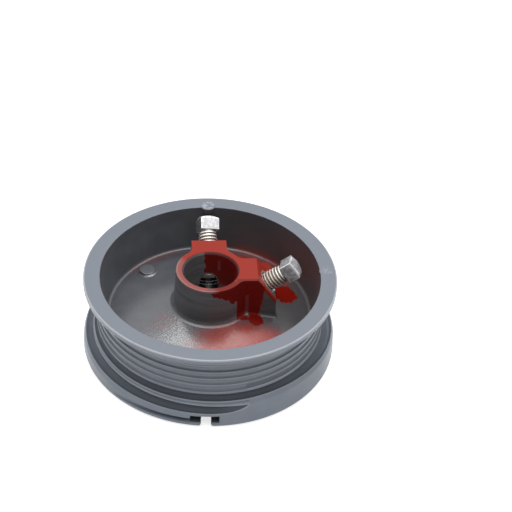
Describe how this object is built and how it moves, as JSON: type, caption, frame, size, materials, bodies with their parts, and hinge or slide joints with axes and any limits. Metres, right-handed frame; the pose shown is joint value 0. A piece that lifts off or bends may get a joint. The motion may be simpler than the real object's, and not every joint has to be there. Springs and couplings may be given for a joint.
{
  "type": "garage door cable drum",
  "caption": "Die-cast cable drum with a helical groove that winds a garage door's lift cable, and square-head setscrews in lugs on its hub that clamp it on the torsion shaft.",
  "frame": {"origin": "centre of the shaft bore, in the plane that the wide flange and the hub stand on", "axes": "+Z along the shaft bore towards the rim, +X through the side setscrew, +Y through the rear setscrew"},
  "size_m": [0.123, 0.123, 0.0513],
  "materials": {
    "casting": "as cast, satin grey, with red marking paint on the hub and the lugs",
    "zinc_steel": "bright zinc plate"
  },
  "bodies": {
    "drum": {"drum": "casting"},
    "side_setscrew": {"side_setscrew": "zinc_steel"},
    "rear_setscrew": {"rear_setscrew": "zinc_steel"}
  },
  "joints": [
    {"name": "side_screw_travel", "type": "slide", "parent": "drum", "child": "side_setscrew", "axis": [0.809, 0, 0.5878], "range_m": [-0.009, 0.0095]},
    {"name": "rear_screw_travel", "type": "slide", "parent": "drum", "child": "rear_setscrew", "axis": [0, 0.809, 0.5878], "range_m": [-0.0068, 0.012]}
  ]
}
